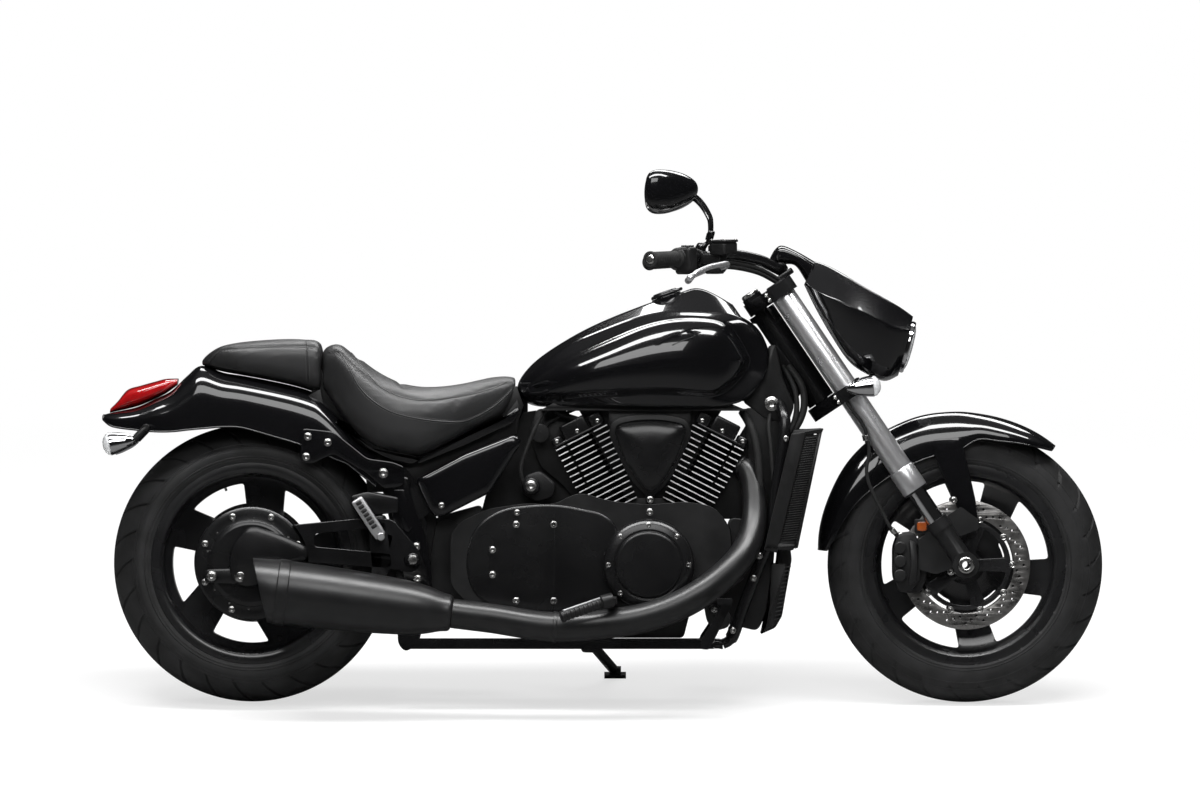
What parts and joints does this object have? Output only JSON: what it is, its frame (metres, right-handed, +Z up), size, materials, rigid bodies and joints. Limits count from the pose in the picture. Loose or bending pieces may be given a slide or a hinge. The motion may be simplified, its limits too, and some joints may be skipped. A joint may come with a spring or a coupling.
{
  "type": "cruiser motorcycle",
  "caption": "Cruiser motorcycle with a V-twin engine, leaning on its side stand, with turning wheels, steering, stand and fuel cap.",
  "frame": {"origin": "on the floor, below the middle of the parked motorcycle", "axes": "+X forward, +Y to the left, +Z up; the machine leans 10 degrees to the left on its side stand"},
  "size_m": [2.375, 0.9128, 1.3031],
  "materials": {
    "gloss_black": "high-gloss black",
    "satin_black": "satin black",
    "case_black": "satin black painted casting",
    "fin_metal": "black with machined edges",
    "brushed": "brushed",
    "chrome": "polished",
    "disc_steel": "ground",
    "seat_leather": "grained",
    "tyre_rubber": "moulded",
    "grip_rubber": "ribbed",
    "black_plastic": "fine grain",
    "red_lens": "clear red",
    "clear_lens": "clear"
  },
  "bodies": {
    "chassis": {"head_tube": "satin_black", "upper_frame": "satin_black", "down_tubes": "satin_black", "lower_frame": "satin_black", "crankcase": "case_black", "front_cover": "case_black", "engine_covers": "case_black", "cylinders": "fin_metal", "head_covers": "case_black", "intake_cover": "case_black", "radiator": "case_black", "exhaust_pipes": "satin_black", "mufflers": "satin_black", "battery_box": "black_plastic", "fuel_tank": "gloss_black", "rider_seat": "seat_leather", "pillion_seat": "seat_leather", "rear_fender": "gloss_black", "tail_lamp": "red_lens", "rear_signals": "chrome", "side_panels": "gloss_black", "swingarm": "satin_black", "final_drive": "case_black", "rear_caliper": "case_black", "rider_footrests": "satin_black", "foot_levers": "satin_black", "pillion_footrests": "satin_black"},
    "steering": {"triple_clamps": "case_black", "fork_tubes": "brushed", "fork_sliders": "chrome", "fork_ends": "case_black", "front_fender": "gloss_black", "fender_stays": "satin_black", "front_calipers": "case_black", "handlebar": "satin_black", "grips": "grip_rubber", "hand_controls": "black_plastic", "hand_levers": "chrome", "mirrors": "gloss_black", "headlamp_cowl": "gloss_black", "headlamp_lens": "clear_lens", "instruments": "black_plastic", "front_signals": "chrome", "brake_hoses": "grip_rubber"},
    "front_wheel": {"front_rim": "case_black", "front_tyre": "tyre_rubber", "front_discs": "disc_steel"},
    "rear_wheel": {"rear_rim": "case_black", "rear_tyre": "tyre_rubber", "rear_disc": "disc_steel"},
    "side_stand": {"side_stand": "satin_black"},
    "fuel_cap": {"fuel_cap": "brushed"}
  },
  "joints": [
    {"name": "steering", "type": "hinge", "parent": "chassis", "child": "steering", "pos_m": [0.37642, -0.00639, 0.91752], "axis": [-0.5592, 0.144, 0.8164], "range_deg": [-35, 35]},
    {"name": "front_wheel_spin", "type": "hinge", "parent": "steering", "child": "front_wheel", "pos_m": [0.862, -0.11122, 0.32302], "axis": [0, 0.9848, -0.1736], "continuous": true},
    {"name": "rear_wheel_spin", "type": "hinge", "parent": "chassis", "child": "rear_wheel", "pos_m": [-0.833, -0.11047, 0.32726], "axis": [0, 0.9848, -0.1736], "continuous": true},
    {"name": "side_stand_fold", "type": "hinge", "parent": "chassis", "child": "side_stand", "pos_m": [-0.03, 0.01585, 0.11073], "axis": [0.0074, 0.5805, 0.8142], "range_deg": [0, 94.4]},
    {"name": "fuel_cap_hinge", "type": "hinge", "parent": "chassis", "child": "fuel_cap", "pos_m": [0.18614, 0.00281, 0.96968], "axis": [0, 0.9848, -0.1736], "range_deg": [0, 95]}
  ]
}
